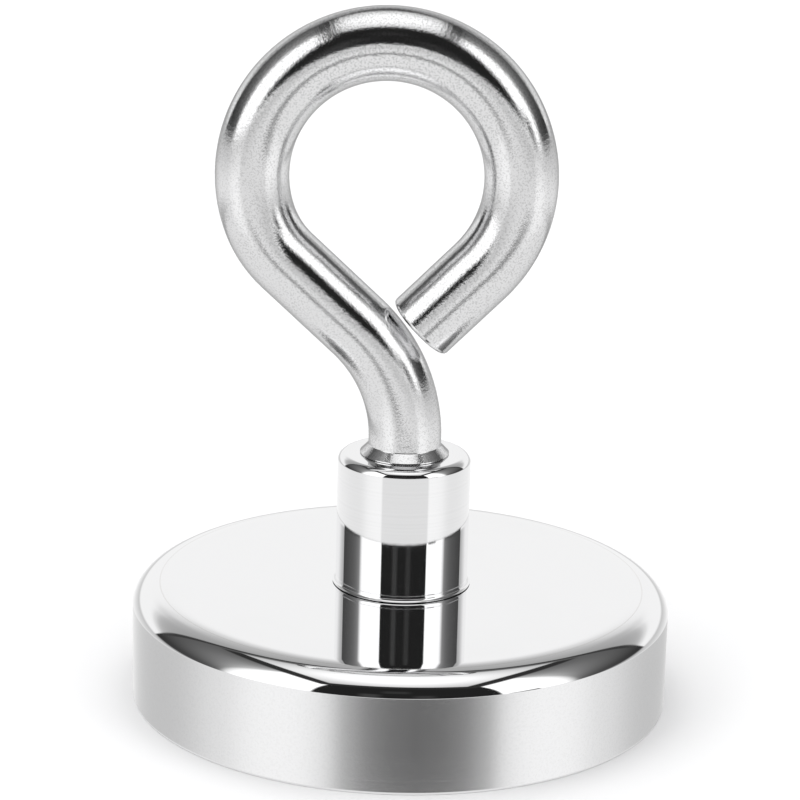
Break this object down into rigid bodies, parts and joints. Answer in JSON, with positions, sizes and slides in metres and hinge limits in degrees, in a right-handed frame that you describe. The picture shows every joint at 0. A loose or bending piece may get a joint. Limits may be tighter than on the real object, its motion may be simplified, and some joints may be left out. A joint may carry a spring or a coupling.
{
  "type": "magnet fishing magnet",
  "caption": "Round single-sided pot magnet with a threaded centre sleeve and a screw-in open eyebolt, for pulling iron and steel out of water on a rope.",
  "frame": {"origin": "centre of the pull face, in the plane of the cup's rim", "axes": "+Z along the sleeve and the eyebolt, away from the pull face; the eye lies in the XZ plane and its shank leans towards -X"},
  "size_m": [0.067, 0.067, 0.0867],
  "materials": {
    "cup_plating": "polished",
    "magnet_nickel": "satin",
    "bond_adhesive": "satin",
    "black_potting": "satin",
    "screw_steel": "satin",
    "sleeve_plating": "polished",
    "thread_lock": "satin",
    "rod_plating": "satin"
  },
  "bodies": {
    "base": {"steel_cup": "cup_plating", "ring_magnet": "magnet_nickel", "magnet_bond": "bond_adhesive", "potting_ring": "black_potting", "countersunk_screw": "screw_steel", "coupling_sleeve": "sleeve_plating"},
    "lift_ring": {"thread_lock_bead": "thread_lock"},
    "eye": {"eyebolt": "rod_plating"}
  },
  "joints": [
    {"name": "eyebolt_lift", "type": "slide", "parent": "base", "child": "lift_ring", "axis": [0, 0, 1], "range_m": [0, 0.00563]},
    {"name": "eyebolt_turn", "type": "hinge", "parent": "lift_ring", "child": "eye", "pos_m": [0, 0, 0.0313], "axis": [0, 0, 1], "range_deg": [0, 1350]}
  ],
  "couplings": [
    {"joint": "eyebolt_lift", "follows": "eyebolt_turn", "m_per_rad": 0.00023873}
  ]
}
